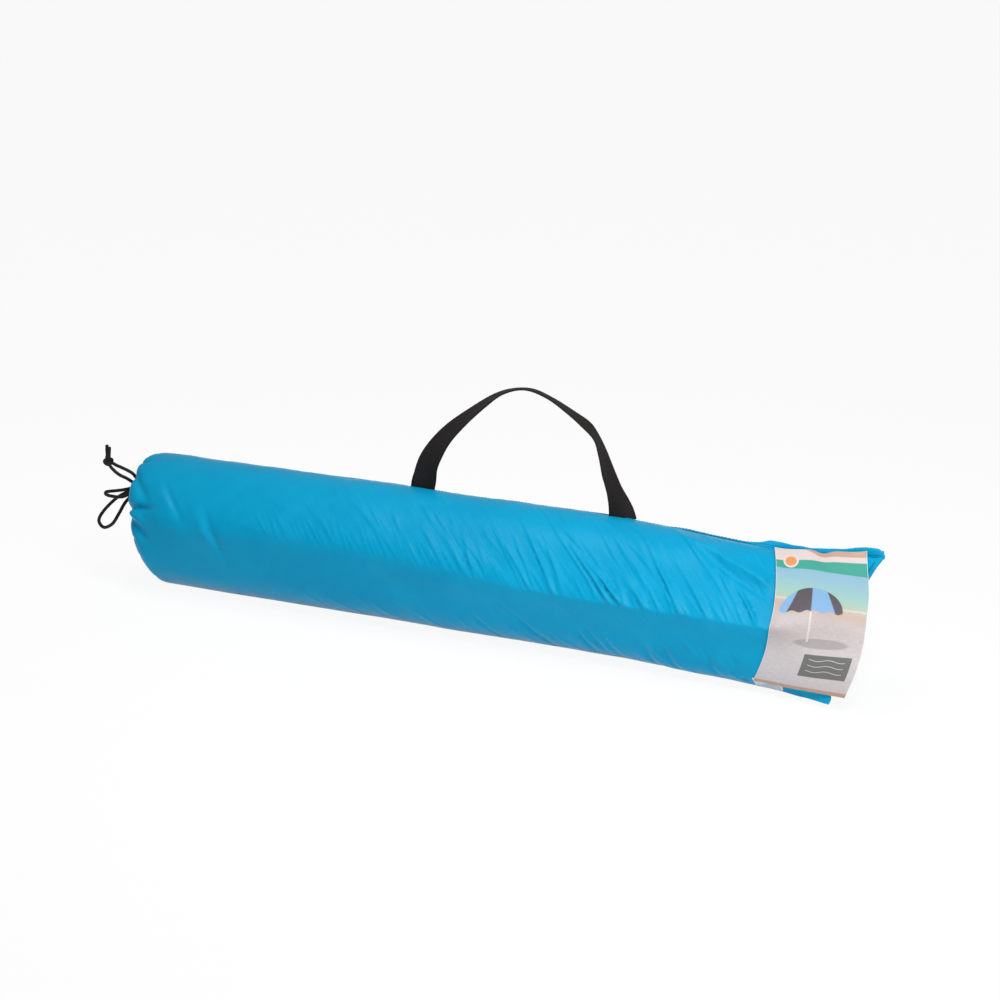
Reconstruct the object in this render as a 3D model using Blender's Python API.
"""Beach tent packed in its carry bag.

A long polyester bag lies on the ground along X. Its drawn mouth is at -X, its sewn end at +X and its
front faces -Y. Inside, the canopy and the groundsheet are rolled up together round two folded
shock-corded poles and a pouch of pegs. A webbing handle stands on the bag's side seam.
Sizes are in metres, +Z is up, and the origin is on the ground under the middle of the bag.
"""
import math

import bmesh
import bpy
from mathutils import Vector

MM = 0.001

# Bag: a cloth tube, a little flat where it lies
BAG_RADIUS = 63 * MM
BAG_AXIS_Z = 60 * MM
CLOTH = 1.2 * MM
GAP = 0.4 * MM
BAG_SIDES = 40
SEAM_ANGLE = math.radians(69)
SINK = 0.052
SINK_FROM_X, SINK_TO_X = 90 * MM, 215 * MM
TAPER_FROM_X, BAG_END_X = 200 * MM, 357.5 * MM
LINING_END_X = 338 * MM
BAG_STATIONS = (-333, -110, 90, 125, 160, 190, 212, 236, 258, 280, 300, 320, 338, 350, 357.5)

# Sewn end of the bag, a line from the upper to the lower ear that bows to the front
UPPER_EAR = Vector((366, 22, 112)) * MM
LOWER_EAR = Vector((349, -52, 4)) * MM
END_BOW = Vector((0, -30, -3)) * MM
END_ACROSS = Vector((0, -0.83, 0.56))
END_HALF, END_LINING_HALF = 1.8 * MM, 0.4 * MM
BINDING_HALF, BINDING_WIDTH, BINDING_STEPS = 1.3 * MM, 3.5 * MM, 14
NORMAL_STEP_X, NORMAL_STEP_U = 2 * MM, 0.004

# Drawn mouth: x and radius of the cloth from the bag to the hem
MOUTH_PROFILE = ((-333.4, 63), (-341, 61.8), (-347, 57.5), (-351, 50.5), (-353, 43), (-353.5, 35.8))
MOUTH_PLEATS = 14
PLEAT_STEPS = 4
PLEAT_DEPTH = 2.0 * MM
HEM_X = -353.5 * MM
HEM_Z = 58.5 * MM
HEM_RING = 31.5 * MM
HEM_RADIUS, HEM_BORE = 3.6 * MM, 2.4 * MM
HEM_STEPS, HEM_SIDES = 32, 8
HEM_EXIT = math.radians(110)
HEM_EXIT_HALF = math.radians(12)

# Drawcord, with the bow that closes the mouth
CORD = 3.8 * MM
CORD_STEP = 5.5 * MM
ROUTE_PARTS = 12
LEAD_ARC, LEAD_TURN = 0.96, 0.6
LEAD_OUT, LEAD_RISE = 1.8 * MM, 0.4 * MM
BOW_CENTRE = Vector((-363.5, -12.5, 92.5)) * MM
BOW_HALF = Vector((7, 5.4, 5.8)) * MM
END_KNOT_CENTRE = Vector((-391.2, -22, 118)) * MM
END_KNOT_HALF = Vector((5, 5, 6)) * MM
END_STUB_TIP = Vector((-389.3, -22, 134.5)) * MM
END_STUB_RADIUS = 3.0 * MM
KNOT_SIDES, KNOT_ROWS = 12, 8
KNOT_LUMPS, KNOT_LUMP_DEPTH = 3, 0.06
TAIL_UPPER = ((-366.0, -10.3, 99.3), (-368.5, -13.0, 105.0), (-376.2, -16.5, 110.0), (-385.6, -19.0, 114.6))
TAIL_LOWER = ((-369.2, -17.2, 96.8), (-373.0, -18.5, 101.0), (-379.5, -22.0, 104.5), (-387.2, -24.6, 111.8))
LOOP_SMALL = (
    (-371.0, -9.6, 91.4), (-376.5, -9.6, 87.8), (-388.5, -9.8, 84.6), (-397.5, -12.5, 83.6),
    (-400.6, -20.0, 84.6), (-395.0, -27.6, 84.4), (-384.5, -29.8, 84.6), (-373.2, -28.6, 84.4),
    (-367.0, -24.0, 86.6), (-366.4, -19.2, 89.6),
)
LOOP_LARGE = (
    (-371.4, -15.0, 89.6), (-375.5, -16.0, 86.4), (-386.0, -18.5, 79.6), (-397.3, -23.5, 67.4),
    (-401.6, -28.6, 57.6), (-393.6, -32.4, 52.4), (-383.0, -32.8, 57.4), (-377.0, -29.4, 67.6),
    (-373.4, -23.4, 77.4), (-369.6, -17.4, 83.6), (-366.4, -14.0, 86.2),
)

# Side seam: a folded allowance that lies down the back and stands up at the sewn end
SEAM_HEIGHT, SEAM_THICK = 6.5 * MM, 1.6 * MM
SEAM_FOOT_OUT, SEAM_FOOT_BACK = 0.64 * MM, 1.6 * MM
SEAM_RISE_FROM_X, SEAM_RISE_TO_X = 165 * MM, 235 * MM
SEAM_STATIONS = (-331, -110, 90, 130, 165, 185, 205, 225, 245, 270, 295, 320, 340, 356)

# Carry handle: 25 mm webbing between two sewn ends, as x, z, turn about its own length
WEB_WIDTH, WEB_THICK = 25 * MM, 1.6 * MM
HANDLE_Y, HANDLE_Z = 22.6 * MM, 124.5 * MM
HANDLE_X = 30 * MM
TAB_TOP_GAP, TAB_BACK = 1.2 * MM, 0.2 * MM
TAB_XS = {"strap_tab_left": -70 * MM, "strap_tab_right": 131 * MM}
STRAP_PATH = (
    (-69.5, 125.0, 0), (-67.6, 134.5, 10), (-64.0, 144.5, 30), (-58.5, 154.0, 45), (-48.5, 165.0, 56),
    (-36.8, 177.6, 62), (-23.6, 190.7, 66), (-9.6, 203.3, 72), (3.0, 212.6, 78), (16.0, 219.8, 85),
    (29.0, 224.2, 88), (40.0, 224.8, 88), (51.0, 221.8, 84), (66.0, 215.4, 78), (79.0, 208.0, 71),
    (91.0, 200.4, 66), (100.5, 192.2, 66), (107.0, 183.5, 74), (111.0, 174.0, 76), (114.2, 164.0, 68),
    (118.0, 153.0, 58), (123.0, 142.0, 48), (128.0, 133.0, 22), (130.6, 125.0, 0),
)

# Printed card on the front at the sewn end, and the clear tape under its lower edge
CARD_FROM_X, CARD_TO_X = 276 * MM, 356 * MM
CARD_SHIFT, CARD_FLARE = 2.6 * MM, 6 * MM
CARD_BOW_LEFT, CARD_BOW_RIGHT = 19.5 * MM, 10.5 * MM
CARD_CORNER_RISE, CARD_CORNER_ROWS = 13 * MM, 0.45
CARD_FROM_U, CARD_TO_U = 0.03, 0.430
CARD_THICK, CARD_LIFT = 0.6 * MM, 0.9 * MM
CARD_COLUMNS, CARD_ROWS = 6, 17
CARD_WAVE, CARD_WAVE_ROWS = 2.6 * MM, 3
CARD_STAND, CARD_BELLY = 2.0 * MM, 1.5 * MM
TAPE_FROM_X, TAPE_TO_X = 284 * MM, 310 * MM
TAPE_FROM_U, TAPE_TO_U = 0.457, 0.492
TAPE_THICK, TAPE_LIFT, TAPE_STEPS = 0.5 * MM, 0.6 * MM, 4

# Canopy and groundsheet, rolled up together as folded layers
ROLL_Z = 57.5 * MM
ROLL_FROM_X, ROLL_TO_X = -327 * MM, 186 * MM
LAYER, LAYER_GAP = 2.6 * MM, 0.5 * MM
ROLL_START_RADIUS = 27.2 * MM
ROLL_TURNS = 4.1
TURN_STEPS = 24
TIE_WIDTH, TIE_THICK = 20 * MM, 0.8 * MM
TIE_RADIUS, TIE_SIDES = 54.4 * MM, 32
TIE_XS = {"roll_tie_left": -210 * MM, "roll_tie_right": 80 * MM}

# Folded poles: five tubes each, on one shock cord
POLE_SECTIONS = 5
TUBE_LENGTH, TUBE_RADIUS, TUBE_BORE = 440 * MM, 3.5 * MM, 1.9 * MM
FERRULE_LENGTH, FERRULE_OVER = 56 * MM, 26 * MM
FERRULE_RADIUS, FERRULE_BORE = 4.3 * MM, 3.75 * MM
BUNDLE_RING = 6.9 * MM
POLE_FROM_X = -285 * MM
SHOCK_CORD, SHOCK_GAP, SHOCK_TURN_STEPS = 2.4 * MM, 2 * MM, 6
TIP_LENGTH, TIP_SPIGOT = 14 * MM, 8 * MM
TIP_COLLAR, TIP_NECK = 0.5, 0.6
TIP_NECK_SHARE, TIP_NOSE_SHARE = 0.6, 0.5
TUBE_SIDES = 10
BUNDLE_REACH = 14.3 * MM
POLES = {"pole_a": math.radians(150), "pole_b": math.radians(30)}

# Peg pouch with eight wire pegs, two hanks of guy line and their runners
PEG, PEG_LENGTH, PEG_HOOK, PEG_BEND = 3.5 * MM, 180 * MM, 7 * MM, 4 * MM
PEG_PITCH, PEG_ROW = 3.95 * MM, 2.05 * MM
PEG_FROM_X = -118 * MM
PEG_POINT, PEG_POINT_SHARE = 9 * MM, 0.3
PEG_BEND_STEPS, PEG_SIDES = 4, 6
PEG_COLUMNS = 4
POUCH_REACH = 13.4 * MM
POUCH_RADIUS, POUCH_WALL = 10.9 * MM, 0.7 * MM
POUCH_FROM_X, POUCH_TO_X = -300 * MM, -126 * MM
POUCH_NOSE, POUCH_NOSE_SHARE, POUCH_SIDES = 4 * MM, 0.7, 16
HANK_LENGTH, HANK_WIDTH, HANK_THICK = 72 * MM, 17 * MM, 7 * MM
HANK_FROM_X = -40 * MM
HANK_GAP = 1.2 * MM
HANK_LEVELS = ((0, 0.86), (0.2, 1.0), (0.8, 1.0), (1, 0.86))
ROUND_STEPS = 8
RUNNER_LENGTH, RUNNER_WIDTH, RUNNER_THICK, RUNNER_HOLE = 26 * MM, 9 * MM, 3 * MM, 1.6 * MM
RUNNER_FROM_X = 56 * MM

COLOURS = {
    "polyester_blue": ((0.006, 0.29, 0.55), 0.42, 0.0),
    "webbing_black": ((0.012, 0.012, 0.013), 0.75, 0.0),
    "cord_black": ((0.010, 0.010, 0.011), 0.70, 0.0),
    "card_print": ((0.55, 0.60, 0.58), 0.35, 0.0),
    "tape_clear": ((0.70, 0.80, 0.86), 0.20, 0.0),
    "canopy_cloth": ((0.07, 0.34, 0.62), 0.55, 0.0),
    "groundsheet": ((0.10, 0.10, 0.11), 0.60, 0.0),
    "tie_tape": ((0.012, 0.012, 0.013), 0.75, 0.0),
    "fibreglass": ((0.025, 0.025, 0.028), 0.35, 0.0),
    "steel": ((0.62, 0.63, 0.64), 0.30, 1.0),
    "shock_cord": ((0.50, 0.50, 0.48), 0.70, 0.0),
    "tip_plastic": ((0.015, 0.015, 0.016), 0.45, 0.0),
    "pouch_cloth": ((0.006, 0.29, 0.55), 0.55, 0.0),
    "guy_line": ((0.70, 0.72, 0.70), 0.70, 0.0),
    "runner_plastic": ((0.015, 0.015, 0.016), 0.40, 0.0),
}


def material(name):
    """Principled finish of that name, made once."""
    found = bpy.data.materials.get(name)
    if found:
        return found
    colour, rough, metal = COLOURS[name]
    made = bpy.data.materials.new(name)
    made.use_nodes = True
    shader = made.node_tree.nodes["Principled BSDF"]
    shader.inputs["Base Color"].default_value = (*colour, 1.0)
    shader.inputs["Roughness"].default_value = rough
    shader.inputs["Metallic"].default_value = metal
    return made


def axis_empty(name, place):
    """Empty on a joint's axis, which carries the pieces of that body."""
    empty = bpy.data.objects.new(name, None)
    empty.location = place
    bpy.context.collection.objects.link(empty)
    return empty


def link_piece(obj, finish, carrier):
    obj.data.materials.append(material(finish))
    bpy.context.collection.objects.link(obj)
    if carrier:
        obj.parent = carrier
    return obj


def finish_mesh(name, bm, finish, carrier=None, sharp=40):
    """Object from a finished bmesh, with its origin on its carrier."""
    bmesh.ops.recalc_face_normals(bm, faces=bm.faces)
    if carrier:
        bmesh.ops.translate(bm, verts=bm.verts, vec=-carrier.location)
    mesh = bpy.data.meshes.new(name)
    bm.to_mesh(mesh)
    bm.free()
    mesh.shade_smooth()
    mesh.set_sharp_from_angle(angle=math.radians(sharp))
    return link_piece(bpy.data.objects.new(name, mesh), finish, carrier)


def join_rings(bm, first, second):
    """Band of faces between two rings of vertices."""
    count = len(first)
    for i in range(count):
        j = (i + 1) % count
        bm.faces.new((first[i], first[j], second[j], second[i]))


def zip_ring(bm, ring, shift):
    """Close a flat, thin ring across its thickness: vertex i faces vertex -i - shift."""
    for i in range(len(ring) // 2):
        corners = (ring[i], ring[i + 1], ring[-i - 1 - shift], ring[-i - shift])
        face = list(dict.fromkeys(corners))
        if len(face) > 2:
            bm.faces.new(face)


def add_rings(bm, rings):
    """Vertices of each ring, with bands of faces between neighbours."""
    made = [[bm.verts.new(p) for p in ring] for ring in rings]
    for first, second in zip(made, made[1:]):
        join_rings(bm, first, second)
    return made


def solid_loft(bm, rings):
    """Closed body through rings of points, with a flat face at each end."""
    made = add_rings(bm, rings)
    bm.faces.new(made[0])
    bm.faces.new(made[-1])


def ring_loft(bm, rings):
    """Closed body whose last ring joins its first, as a tube with a bore or a whole ring."""
    made = add_rings(bm, rings)
    join_rings(bm, made[-1], made[0])


def circle(centre, across, up, radius, sides):
    """Ring of points round a centre in the plane of two unit vectors."""
    turns = (2 * math.pi * i / sides for i in range(sides))
    return [centre + across * (radius * math.cos(t)) + up * (radius * math.sin(t)) for t in turns]


def tube_rings(start_x, end_x, y, z, outer, bore, sides):
    """Rings of a straight tube along X, for ring_loft."""
    side, up = Vector((0, 1, 0)), Vector((0, 0, 1))
    places = ((start_x, outer), (end_x, outer), (end_x, bore), (start_x, bore))
    return [circle(Vector((x, y, z)), side, up, radius, sides) for x, radius in places]


def ease(t):
    """Smooth step from 0 to 1."""
    t = min(max(t, 0.0), 1.0)
    return t * t * (3 - 2 * t)


def smooth_route(points, step):
    """Points a step apart on a smooth curve through a route's own points."""
    route = [Vector(p) for p in points]
    route = [2 * route[0] - route[1], *route, 2 * route[-1] - route[-2]]
    fine = []
    for before, start, end, after in zip(route, route[1:], route[2:], route[3:]):
        for i in range(ROUTE_PARTS):
            t = i / ROUTE_PARTS
            pull = (end - before) * t + (2 * before - 5 * start + 4 * end - after) * t ** 2
            pull += (3 * start - before - 3 * end + after) * t ** 3
            fine.append(start + pull / 2)
    fine.append(route[-2])
    lengths = [0.0]
    for a, b in zip(fine, fine[1:]):
        lengths.append(lengths[-1] + (b - a).length)
    count = max(4, round(lengths[-1] / step))
    made, at = [], 0
    for i in range(count + 1):
        want = lengths[-1] * i / count
        while at < len(lengths) - 2 and lengths[at + 1] < want:
            at += 1
        share = (want - lengths[at]) / (lengths[at + 1] - lengths[at])
        made.append(fine[at].lerp(fine[at + 1], min(share, 1.0)))
    return made


def cord_curve(name, points, diameter, finish, carrier=None):
    """Round cord along points, as a curve with a bevel and filled caps."""
    curve = bpy.data.curves.new(name, "CURVE")
    curve.dimensions = "3D"
    curve.bevel_depth = diameter / 2
    curve.bevel_resolution = 2
    curve.use_fill_caps = True
    spline = curve.splines.new("POLY")
    spline.points.add(len(points) - 1)
    origin = carrier.location if carrier else Vector((0, 0, 0))
    for slot, place in zip(spline.points, points):
        slot.co = (*(place - origin), 1.0)
    return link_piece(bpy.data.objects.new(name, curve), finish, carrier)


def end_line(s):
    """Sewn end of the bag, from the upper ear at s = 0 to the lower ear at s = 1."""
    return UPPER_EAR.lerp(LOWER_EAR, s) + END_BOW * (4 * s * (1 - s))


def bag_point(x, u, inset=0.0, end_half=END_HALF):
    """Point on the bag's skin: u is 0 at the seam, 0.25 at the front, 0.5 at the fold below."""
    turn = SEAM_ANGLE + 2 * math.pi * u
    radius = BAG_RADIUS - inset
    sink = 1 - SINK * ease((x - SINK_FROM_X) / (SINK_TO_X - SINK_FROM_X))
    y = radius * math.cos(turn)
    z = max((BAG_AXIS_Z + radius * math.sin(turn)) * sink, inset)
    t = min(max((x - TAPER_FROM_X) / (BAG_END_X - TAPER_FROM_X), 0.0), 1.0)
    flat = 1 - math.cos(math.pi / 2 * t)
    s = 2 * u if u <= 0.5 else 2 * (1 - u)
    side = 1 if u <= 0.5 else -1
    half = end_half * math.sqrt(max(math.sin(math.pi * s), 0.0))
    end = end_line(s) + END_ACROSS * (side * half)
    skin = Vector((x, y, z))
    return skin + Vector((end.x - BAG_END_X, end.y - y, end.z - z)) * flat


def bag_ring(x, inset=0.0, end_half=END_HALF):
    return [bag_point(x, i / BAG_SIDES, inset, end_half) for i in range(BAG_SIDES)]


def bag_normal(x, u):
    """Outward normal of the bag's skin."""
    along = bag_point(x + NORMAL_STEP_X, u) - bag_point(x - NORMAL_STEP_X, u)
    around = bag_point(x, u + NORMAL_STEP_U) - bag_point(x, max(u - NORMAL_STEP_U, 0.0))
    return around.cross(along).normalized()


def bag_shell():
    """Sewn cloth tube: outer and inner skins, open at the mouth and closed flat at the end."""
    bm = bmesh.new()
    outer = add_rings(bm, [bag_ring(x * MM) for x in BAG_STATIONS])
    lining_xs = [x * MM for x in BAG_STATIONS if x * MM <= LINING_END_X]
    inner = add_rings(bm, [bag_ring(x, CLOTH, END_LINING_HALF) for x in lining_xs])
    join_rings(bm, outer[0], inner[0])
    zip_ring(bm, outer[-1], 0)
    zip_ring(bm, inner[-1], 0)
    finish_mesh("bag_shell", bm, "polyester_blue")


def mouth_gather():
    """Cloth drawn in from the bag to the hem, in pleats that deepen towards the hole."""
    profile = [Vector((x, r)) * MM for x, r in MOUTH_PROFILE]
    inner = []
    for i, point in enumerate(profile):
        before, after = profile[max(i - 1, 0)], profile[min(i + 1, len(profile) - 1)]
        run = (after - before).normalized()
        inner.append(point + Vector((-run.y, run.x)) * CLOTH)
    wall = [(p, 0.0) for p in profile] + [(p, CLOTH) for p in reversed(inner)]
    narrow = BAG_RADIUS - profile[-1].y
    steps = MOUTH_PLEATS * PLEAT_STEPS
    rings = []
    for i in range(steps):
        turn = 2 * math.pi * i / steps
        ring = []
        for point, floor in wall:
            drawn = min(max((BAG_RADIUS - point.y) / narrow, 0.0), 1.0)
            centre = BAG_AXIS_Z + (HEM_Z - BAG_AXIS_Z) * drawn
            x = point.x + PLEAT_DEPTH * drawn * math.cos(MOUTH_PLEATS * turn)
            z = max(centre + point.y * math.sin(turn), floor)
            ring.append(Vector((x, point.y * math.cos(turn), z)))
        rings.append(ring)
    bm = bmesh.new()
    ring_loft(bm, rings)
    finish_mesh("mouth_gather", bm, "polyester_blue")


def hem_place(turn, radius=HEM_RING, x=HEM_X):
    """Point at an angle round the mouth's hole."""
    return Vector((x, radius * math.cos(turn), HEM_Z + radius * math.sin(turn)))


def mouth_hem():
    """Casing round the hole, a bent tube that is open where the drawcord comes out."""
    along = Vector((1, 0, 0))
    outer, bore = [], []
    sweep = 2 * math.pi - 2 * HEM_EXIT_HALF
    for i in range(HEM_STEPS + 1):
        turn = HEM_EXIT + HEM_EXIT_HALF + sweep * i / HEM_STEPS
        out = Vector((0, math.cos(turn), math.sin(turn)))
        outer.append(circle(hem_place(turn), along, out, HEM_RADIUS, HEM_SIDES))
        bore.append(circle(hem_place(turn), along, out, HEM_BORE, HEM_SIDES))
    bm = bmesh.new()
    ring_loft(bm, outer + bore[::-1])
    finish_mesh("mouth_hem", bm, "polyester_blue")


def drawcord_run():
    """Cord inside the casing, with both ends led out of the gap to the bow."""
    inside = HEM_EXIT_HALF * LEAD_ARC
    sweep = 2 * math.pi - 2 * inside
    arc = [hem_place(HEM_EXIT + inside + sweep * i / HEM_STEPS) for i in range(HEM_STEPS + 1)]
    lead = HEM_EXIT_HALF * LEAD_TURN
    near = HEM_X - LEAD_OUT
    first = hem_place(HEM_EXIT + lead, HEM_RING + LEAD_RISE, near)
    last = hem_place(HEM_EXIT - lead, HEM_RING + LEAD_RISE, near)
    cord_curve("drawcord_run", [first, *arc, last], CORD, "cord_black")


def seam_lean(x, up, back):
    """Direction of the seam allowance: down the back, or standing up near the sewn end."""
    rise = ease((x - SEAM_RISE_FROM_X) / (SEAM_RISE_TO_X - SEAM_RISE_FROM_X))
    return (back * (1 - rise) + up * rise).normalized()


def side_seam():
    """Folded allowance along the side seam."""
    rings = []
    for x in [x * MM for x in SEAM_STATIONS]:
        place = bag_point(x, 0.0)
        out = Vector((0, math.cos(SEAM_ANGLE), math.sin(SEAM_ANGLE)))
        back = Vector((0, math.sin(SEAM_ANGLE), -math.cos(SEAM_ANGLE)))
        lean = seam_lean(x, out, back)
        flat = Vector((0, -lean.z, lean.y)) * SEAM_THICK
        if flat.dot(out) < 0:
            flat = -flat
        foot = place + out * SEAM_FOOT_OUT + back * SEAM_FOOT_BACK
        top = foot + lean * SEAM_HEIGHT
        rings.append([foot, top, top + flat, foot + flat])
    bm = bmesh.new()
    solid_loft(bm, rings)
    finish_mesh("side_seam", bm, "polyester_blue")


def end_seam():
    """Bound edge along the sewn end, from ear to ear."""
    rings = []
    for i in range(BINDING_STEPS + 1):
        s = i / BINDING_STEPS
        edge = end_line(s) + Vector((GAP, 0, 0))
        half = END_ACROSS * BINDING_HALF
        far = Vector((BINDING_WIDTH, 0, 0))
        rings.append([edge - half, edge - half + far, edge + half + far, edge + half])
    bm = bmesh.new()
    solid_loft(bm, rings)
    finish_mesh("end_seam", bm, "polyester_blue")


def strap_tabs():
    """Ends of the webbing, sewn into the side seam."""
    for name, x in TAB_XS.items():
        foot = bag_point(x - WEB_WIDTH / 2, 0.0).z + 2 * GAP
        top = HANDLE_Z - TAB_TOP_GAP
        half_x, half_y = WEB_WIDTH / 2, WEB_THICK / 2
        y = HANDLE_Y - TAB_BACK
        rings = []
        for z in (foot, top):
            corners = ((-half_x, -half_y), (half_x, -half_y), (half_x, half_y), (-half_x, half_y))
            rings.append([Vector((x + dx, y + dy, z)) for dx, dy in corners])
        bm = bmesh.new()
        solid_loft(bm, rings)
        finish_mesh(name, bm, "webbing_black")


def carry_strap(carrier):
    """Webbing arch that stands on the seam, flat to the front at its feet and edge-on at its crest."""
    stations = [(Vector((x * MM, HANDLE_Y, z * MM)), math.radians(a)) for x, z, a in STRAP_PATH]
    rings = []
    for i, (place, turn) in enumerate(stations):
        before, after = stations[max(i - 1, 0)][0], stations[min(i + 1, len(stations) - 1)][0]
        run = (after - before).normalized()
        if i in (0, len(stations) - 1):
            run = Vector((0, 0, 1 if i == 0 else -1))
        level = Vector((0, 1, 0))
        across = run.cross(level).normalized()
        wide = across * math.cos(turn) + level * math.sin(turn)
        thin = run.cross(wide).normalized()
        a, b = wide * (WEB_WIDTH / 2), thin * (WEB_THICK / 2)
        rings.append([place - a - b, place + a - b, place + a + b, place - a + b])
    bm = bmesh.new()
    solid_loft(bm, rings)
    finish_mesh("carry_strap", bm, "webbing_black", carrier, sharp=30)


def card_point(x, v, lift):
    """Point on the card: it bends with the bag's front and bows towards the sewn end, one corner up."""
    u = CARD_FROM_U + (CARD_TO_U - CARD_FROM_U) * v
    share = (x - CARD_FROM_X) / (CARD_TO_X - CARD_FROM_X)
    place = bag_point(CARD_FROM_X, u).lerp(bag_point(CARD_TO_X, u), share)
    out = bag_normal(CARD_FROM_X, u)
    curve = math.sin(math.pi * v)
    bow = CARD_BOW_LEFT + (CARD_BOW_RIGHT - CARD_BOW_LEFT) * share
    place.x = x + CARD_SHIFT + CARD_FLARE * share * v + bow * curve
    place.z += CARD_CORNER_RISE * share ** 2 * max(0.0, 1 - v / CARD_CORNER_ROWS) ** 2
    return place + out * (lift + CARD_STAND * share + CARD_BELLY * curve * share)


def info_card():
    """Printed card, a thin sheet with a wavy upper edge."""
    bm = bmesh.new()
    sheets = []
    for lift in (CARD_LIFT, CARD_LIFT + CARD_THICK):
        rows = []
        for j in range(CARD_ROWS + 1):
            row = []
            for i in range(CARD_COLUMNS + 1):
                share = i / CARD_COLUMNS
                x = CARD_FROM_X + (CARD_TO_X - CARD_FROM_X) * share
                wave = CARD_WAVE * math.sin(math.pi * share) ** 2 * max(0.0, 1 - j / CARD_WAVE_ROWS)
                row.append(card_point(x, j / CARD_ROWS, lift + wave))
            rows.append(row)
        sheets.append(rows)
    under, over = sheets
    rings = []
    for low, high in zip(under, over):
        rings.append([*low, *high[::-1]])
    made = add_rings(bm, rings)
    zip_ring(bm, made[0], 1)
    zip_ring(bm, made[-1], 1)
    finish_mesh("info_card", bm, "card_print")


def card_tape():
    """Clear tape on the bag under the card's lower edge."""
    rings = []
    for i in range(TAPE_STEPS + 1):
        u = TAPE_FROM_U + (TAPE_TO_U - TAPE_FROM_U) * i / TAPE_STEPS
        ring = []
        for x, lift in ((TAPE_FROM_X, 0), (TAPE_TO_X, 0), (TAPE_TO_X, 1), (TAPE_FROM_X, 1)):
            ring.append(bag_point(x, u) + bag_normal(x, u) * (TAPE_LIFT + TAPE_THICK * lift))
        rings.append(ring)
    bm = bmesh.new()
    solid_loft(bm, rings)
    finish_mesh("card_tape", bm, "tape_clear")


def knot_ball(centre, half):
    """Rounded lump of a knot, as rings round its vertical axis."""
    rings = []
    for j in range(1, KNOT_ROWS):
        tip = math.pi * j / KNOT_ROWS
        ring = []
        for i in range(KNOT_SIDES):
            turn = 2 * math.pi * i / KNOT_SIDES
            bulge = 1 + KNOT_LUMP_DEPTH * math.cos(KNOT_LUMPS * turn + 2 * tip)
            flat = math.sin(tip) * bulge
            place = (flat * math.cos(turn), flat * math.sin(turn), -math.cos(tip))
            ring.append(centre + Vector([a * b for a, b in zip(place, half)]))
        rings.append(ring)
    return rings


def drawcord(carrier):
    """Bow at the mouth, its two loops, and the two tails that end in one knot."""
    bm = bmesh.new()
    solid_loft(bm, knot_ball(BOW_CENTRE, BOW_HALF))
    finish_mesh("bow_knot", bm, "cord_black", carrier)
    bm = bmesh.new()
    rings = knot_ball(END_KNOT_CENTRE, END_KNOT_HALF)[:-1]
    for share in (0.5, 1.0):
        place = END_KNOT_CENTRE.lerp(END_STUB_TIP, share)
        rings.append(circle(place, Vector((1, 0, 0)), Vector((0, 1, 0)), END_STUB_RADIUS, KNOT_SIDES))
    solid_loft(bm, rings)
    finish_mesh("end_knot", bm, "cord_black", carrier)
    routes = {
        "tail_upper": TAIL_UPPER,
        "tail_lower": TAIL_LOWER,
        "loop_small": LOOP_SMALL,
        "loop_large": LOOP_LARGE,
    }
    for name, route in routes.items():
        points = smooth_route([Vector(p) * MM for p in route], CORD_STEP)
        cord_curve(name, points, CORD, "cord_black", carrier)


def rolled_layer(name, start_turn, finish, carrier):
    """One rolled sheet, a spiral wall along X."""
    pitch = 2 * (LAYER + LAYER_GAP)
    count = round(ROLL_TURNS * TURN_STEPS)
    outer, inner = [], []
    for i in range(count + 1):
        turn = 2 * math.pi * i / TURN_STEPS
        radius = ROLL_START_RADIUS + pitch * i / TURN_STEPS
        aim = Vector((0, math.cos(turn + start_turn), math.sin(turn + start_turn)))
        outer.append(aim * (radius + LAYER / 2))
        inner.append(aim * (radius - LAYER / 2))
    rings = []
    for x in (ROLL_FROM_X, ROLL_TO_X):
        rings.append([p + Vector((x, 0, ROLL_Z)) for p in outer + inner[::-1]])
    bm = bmesh.new()
    made = add_rings(bm, rings)
    zip_ring(bm, made[0], 1)
    zip_ring(bm, made[1], 1)
    finish_mesh(name, bm, finish, carrier)


def roll(carrier):
    """Canopy and groundsheet, and the two tapes tied round them."""
    rolled_layer("canopy_roll", 0.0, "canopy_cloth", carrier)
    rolled_layer("groundsheet_roll", math.pi, "groundsheet", carrier)
    for name, x in TIE_XS.items():
        bm = bmesh.new()
        outer = TIE_RADIUS + TIE_THICK
        ring_loft(bm, tube_rings(x, x + TIE_WIDTH, 0, ROLL_Z, outer, TIE_RADIUS, TIE_SIDES))
        finish_mesh(name, bm, "tie_tape", carrier)


def pole_places(angle):
    """Centre of a folded pole and the centres of its tubes, in the roll's core."""
    centre = Vector((0, math.cos(angle), math.sin(angle))) * BUNDLE_REACH + Vector((0, 0, ROLL_Z))
    places = []
    for i in range(POLE_SECTIONS):
        turn = angle + 2 * math.pi * i / POLE_SECTIONS
        places.append(centre + Vector((0, math.cos(turn), math.sin(turn))) * BUNDLE_RING)
    return places


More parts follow.
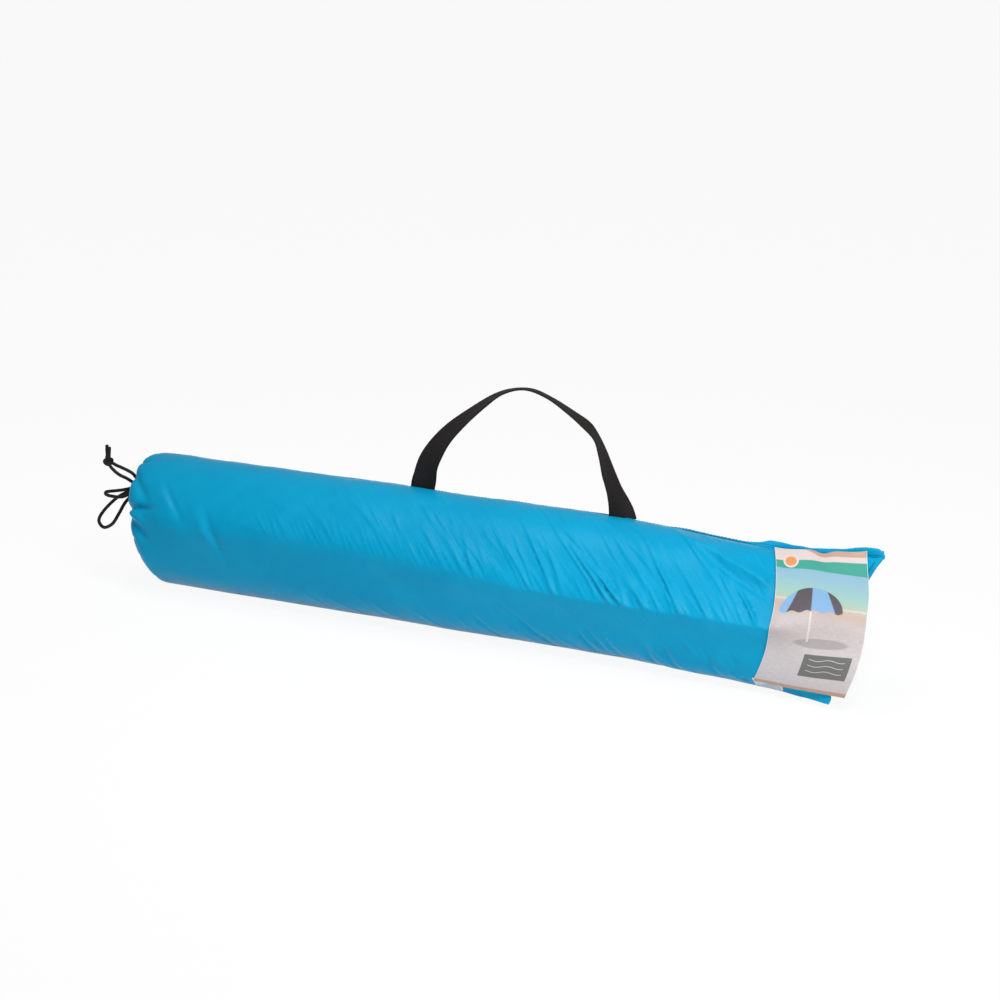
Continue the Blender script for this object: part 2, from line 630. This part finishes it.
def shock_route(places):
    """Shock cord through every tube, with a turn past the ferrule between two tubes."""
    start, end = POLE_FROM_X, POLE_FROM_X + TUBE_LENGTH
    beyond = FERRULE_LENGTH - FERRULE_OVER
    half = (places[1] - places[0]).length / 2
    points = [places[0] + Vector((start + TIP_SPIGOT + SHOCK_GAP, 0, 0))]
    for i, place in enumerate(places[:-1]):
        sign = 1 if i % 2 == 0 else -1
        edge = (end if sign > 0 else start) + sign * (beyond + SHOCK_GAP)
        middle = (place + places[i + 1]) / 2
        reach = (place - places[i + 1]) / 2
        for j in range(SHOCK_TURN_STEPS + 1):
            turn = math.pi * j / SHOCK_TURN_STEPS
            bend = Vector((sign * half * math.sin(turn), 0, 0)) + reach * math.cos(turn)
            points.append(middle + bend + Vector((edge, 0, 0)))
    points.append(places[-1] + Vector((end - TIP_SPIGOT - SHOCK_GAP, 0, 0)))
    return points


def tip_rings(end_x, outward, place):
    """Pole tip: a spigot in the tube, a collar and a narrower nose."""
    shape = (
        (-TIP_SPIGOT, TUBE_BORE - GAP), (GAP, TUBE_BORE - GAP), (GAP, TUBE_RADIUS),
        (TIP_LENGTH * TIP_COLLAR, TUBE_RADIUS), (TIP_LENGTH * TIP_NECK, TUBE_RADIUS * TIP_NECK_SHARE),
        (TIP_LENGTH, TUBE_RADIUS * TIP_NOSE_SHARE),
    )
    side, up = Vector((0, 1, 0)), Vector((0, 0, 1))
    rings = []
    for along, radius in shape:
        centre = Vector((end_x + outward * along, place.y, place.z))
        rings.append(circle(centre, side, up, radius, TUBE_SIDES))
    return rings


def folded_pole(name, angle, carrier):
    """Five tubes side by side, four ferrules, the shock cord and two tips."""
    places = pole_places(angle)
    start, end = POLE_FROM_X, POLE_FROM_X + TUBE_LENGTH
    for i, place in enumerate(places):
        bm = bmesh.new()
        rings = tube_rings(start, end, place.y, place.z, TUBE_RADIUS, TUBE_BORE, TUBE_SIDES)
        ring_loft(bm, rings)
        finish_mesh(f"{name}_tube_{i + 1}", bm, "fibreglass", carrier)
    for i, place in enumerate(places[:-1]):
        sign = 1 if i % 2 == 0 else -1
        edge = end if sign > 0 else start
        near, far = edge - sign * FERRULE_OVER, edge + sign * (FERRULE_LENGTH - FERRULE_OVER)
        bm = bmesh.new()
        rings = tube_rings(near, far, place.y, place.z, FERRULE_RADIUS, FERRULE_BORE, TUBE_SIDES)
        ring_loft(bm, rings)
        finish_mesh(f"{name}_ferrule_{i + 1}", bm, "steel", carrier)
    for label, edge, sign, place in (("start", start, -1, places[0]), ("end", end, 1, places[-1])):
        bm = bmesh.new()
        solid_loft(bm, tip_rings(edge, sign, place))
        finish_mesh(f"{name}_tip_{label}", bm, "tip_plastic", carrier)
    cord_curve(f"{name}_shock_cord", shock_route(places), SHOCK_CORD, "shock_cord", carrier)


def peg_rings(y, z, sign):
    """One wire peg along X: a sharp end, a long shank and a hook turned up or down."""
    start, bend_x = PEG_FROM_X - PEG_LENGTH, PEG_FROM_X - PEG_BEND
    path = [(Vector((start, y, z)), PEG_POINT_SHARE), (Vector((start + PEG_POINT, y, z)), 1.0)]
    for i in range(PEG_BEND_STEPS + 1):
        turn = math.pi / 2 * i / PEG_BEND_STEPS
        x = bend_x + PEG_BEND * math.sin(turn)
        path.append((Vector((x, y, z + sign * PEG_BEND * (1 - math.cos(turn)))), 1.0))
    path.append((Vector((PEG_FROM_X, y, z + sign * PEG_HOOK)), 1.0))
    level = Vector((0, 1, 0))
    rings = []
    for i, (place, share) in enumerate(path):
        before, after = path[max(i - 1, 0)][0], path[min(i + 1, len(path) - 1)][0]
        across = (after - before).normalized().cross(level)
        rings.append(circle(place, level, across, PEG / 2 * share, PEG_SIDES))
    return rings


def peg_pouch(carrier):
    """Pouch with its pegs, and the guy lines with their runners behind it."""
    z = ROLL_Z - POUCH_REACH
    bm = bmesh.new()
    side, up = Vector((0, 1, 0)), Vector((0, 0, 1))
    bore = POUCH_RADIUS - POUCH_WALL
    shape = (
        (POUCH_FROM_X - POUCH_NOSE, POUCH_RADIUS * POUCH_NOSE_SHARE), (POUCH_FROM_X, POUCH_RADIUS),
        (POUCH_TO_X, POUCH_RADIUS), (POUCH_TO_X, bore), (POUCH_FROM_X, bore),
    )
    solid_loft(bm, [circle(Vector((x, 0, z)), side, up, r, POUCH_SIDES) for x, r in shape])
    finish_mesh("peg_pouch", bm, "pouch_cloth", carrier)
    for column in range(PEG_COLUMNS):
        y = (column - (PEG_COLUMNS - 1) / 2) * PEG_PITCH
        for label, sign in (("lower", -1), ("upper", 1)):
            bm = bmesh.new()
            solid_loft(bm, peg_rings(y, z + sign * PEG_ROW, sign))
            finish_mesh(f"peg_{label}_{column + 1}", bm, "steel", carrier)
    guy_lines(z, carrier)


def hank_outline(width, length, x, z):
    """Long outline with round ends, in a level plane."""
    radius = width / 2
    points = []
    for centre, first in ((x + radius, math.pi / 2), (x + length - radius, -math.pi / 2)):
        for i in range(ROUND_STEPS + 1):
            turn = first + math.pi * i / ROUND_STEPS
            points.append(Vector((centre + radius * math.cos(turn), radius * math.sin(turn), z)))
    return points


def guy_lines(z, carrier):
    """Two hanks of guy line, one above the other, and two runner plates."""
    for label, low in (("lower", z - HANK_GAP / 2 - HANK_THICK), ("upper", z + HANK_GAP / 2)):
        rings = []
        for level, shrink in HANK_LEVELS:
            width = HANK_WIDTH * shrink
            inset = HANK_WIDTH * (1 - shrink) / 2
            length = HANK_LENGTH - 2 * inset
            rings.append(hank_outline(width, length, HANK_FROM_X + inset, low + HANK_THICK * level))
        bm = bmesh.new()
        solid_loft(bm, rings)
        finish_mesh(f"guy_line_{label}", bm, "guy_line", carrier)
    for label, low in (("lower", z - HANK_GAP - RUNNER_THICK), ("upper", z + HANK_GAP)):
        bm = bmesh.new()
        runner_plate(bm, RUNNER_FROM_X, low)
        finish_mesh(f"line_runner_{label}", bm, "runner_plastic", carrier)


def runner_plate(bm, x, low):
    """Flat runner with one hole at each end, as two rings of plate joined in the middle."""
    half = RUNNER_WIDTH / 2
    left, right = x + half, x + RUNNER_LENGTH - half
    for level in (low, low + RUNNER_THICK):
        outline, holes = [], []
        for centre, first in ((left, math.pi / 2), (right, -math.pi / 2)):
            for i in range(ROUND_STEPS + 1):
                turn = first + math.pi * i / ROUND_STEPS
                aim = Vector((math.cos(turn), math.sin(turn), 0))
                outline.append(bm.verts.new(Vector((centre, 0, level)) + aim * half))
            hole = []
            for i in range(2 * ROUND_STEPS):
                turn = first + math.pi * i / ROUND_STEPS
                aim = Vector((math.cos(turn), math.sin(turn), 0))
                hole.append(bm.verts.new(Vector((centre, 0, level)) + aim * RUNNER_HOLE))
            holes.append(hole)
        runner_face(bm, outline, holes, ROUND_STEPS)
        if level == low:
            below, below_holes = outline, holes
    join_rings(bm, below, outline)
    for first, second in zip(below_holes, holes):
        join_rings(bm, first, second)


def runner_face(bm, outline, holes, steps):
    """Flat face of a runner between its outline and its two holes."""
    for k, hole in enumerate(holes):
        rim = outline[k * (steps + 1):(k + 1) * (steps + 1)]
        for i in range(steps):
            bm.faces.new((rim[i], rim[i + 1], hole[i + 1], hole[i]))
    first, second = holes
    inner_left = [first[0], *first[:steps - 1:-1]]
    inner_right = [second[0], *second[:steps - 1:-1]]
    bm.faces.new((outline[0], *inner_left, outline[steps], outline[steps + 1], *inner_right, outline[-1]))


def main():
    for obj in list(bpy.data.objects):
        bpy.data.objects.remove(obj, do_unlink=True)
    handle_axis = axis_empty("handle_axis", (HANDLE_X, HANDLE_Y, HANDLE_Z))
    drawcord_axis = axis_empty("drawcord_axis", BOW_CENTRE)
    roll_axis = axis_empty("roll_axis", (0, 0, ROLL_Z))
    bag_shell()
    mouth_gather()
    mouth_hem()
    drawcord_run()
    side_seam()
    end_seam()
    strap_tabs()
    info_card()
    card_tape()
    carry_strap(handle_axis)
    drawcord(drawcord_axis)
    roll(roll_axis)
    for name, angle in POLES.items():
        folded_pole(name, angle, axis_empty(f"{name}_axis", (0, 0, ROLL_Z)))
    peg_pouch(axis_empty("pouch_axis", (0, 0, ROLL_Z - POUCH_REACH)))


main()
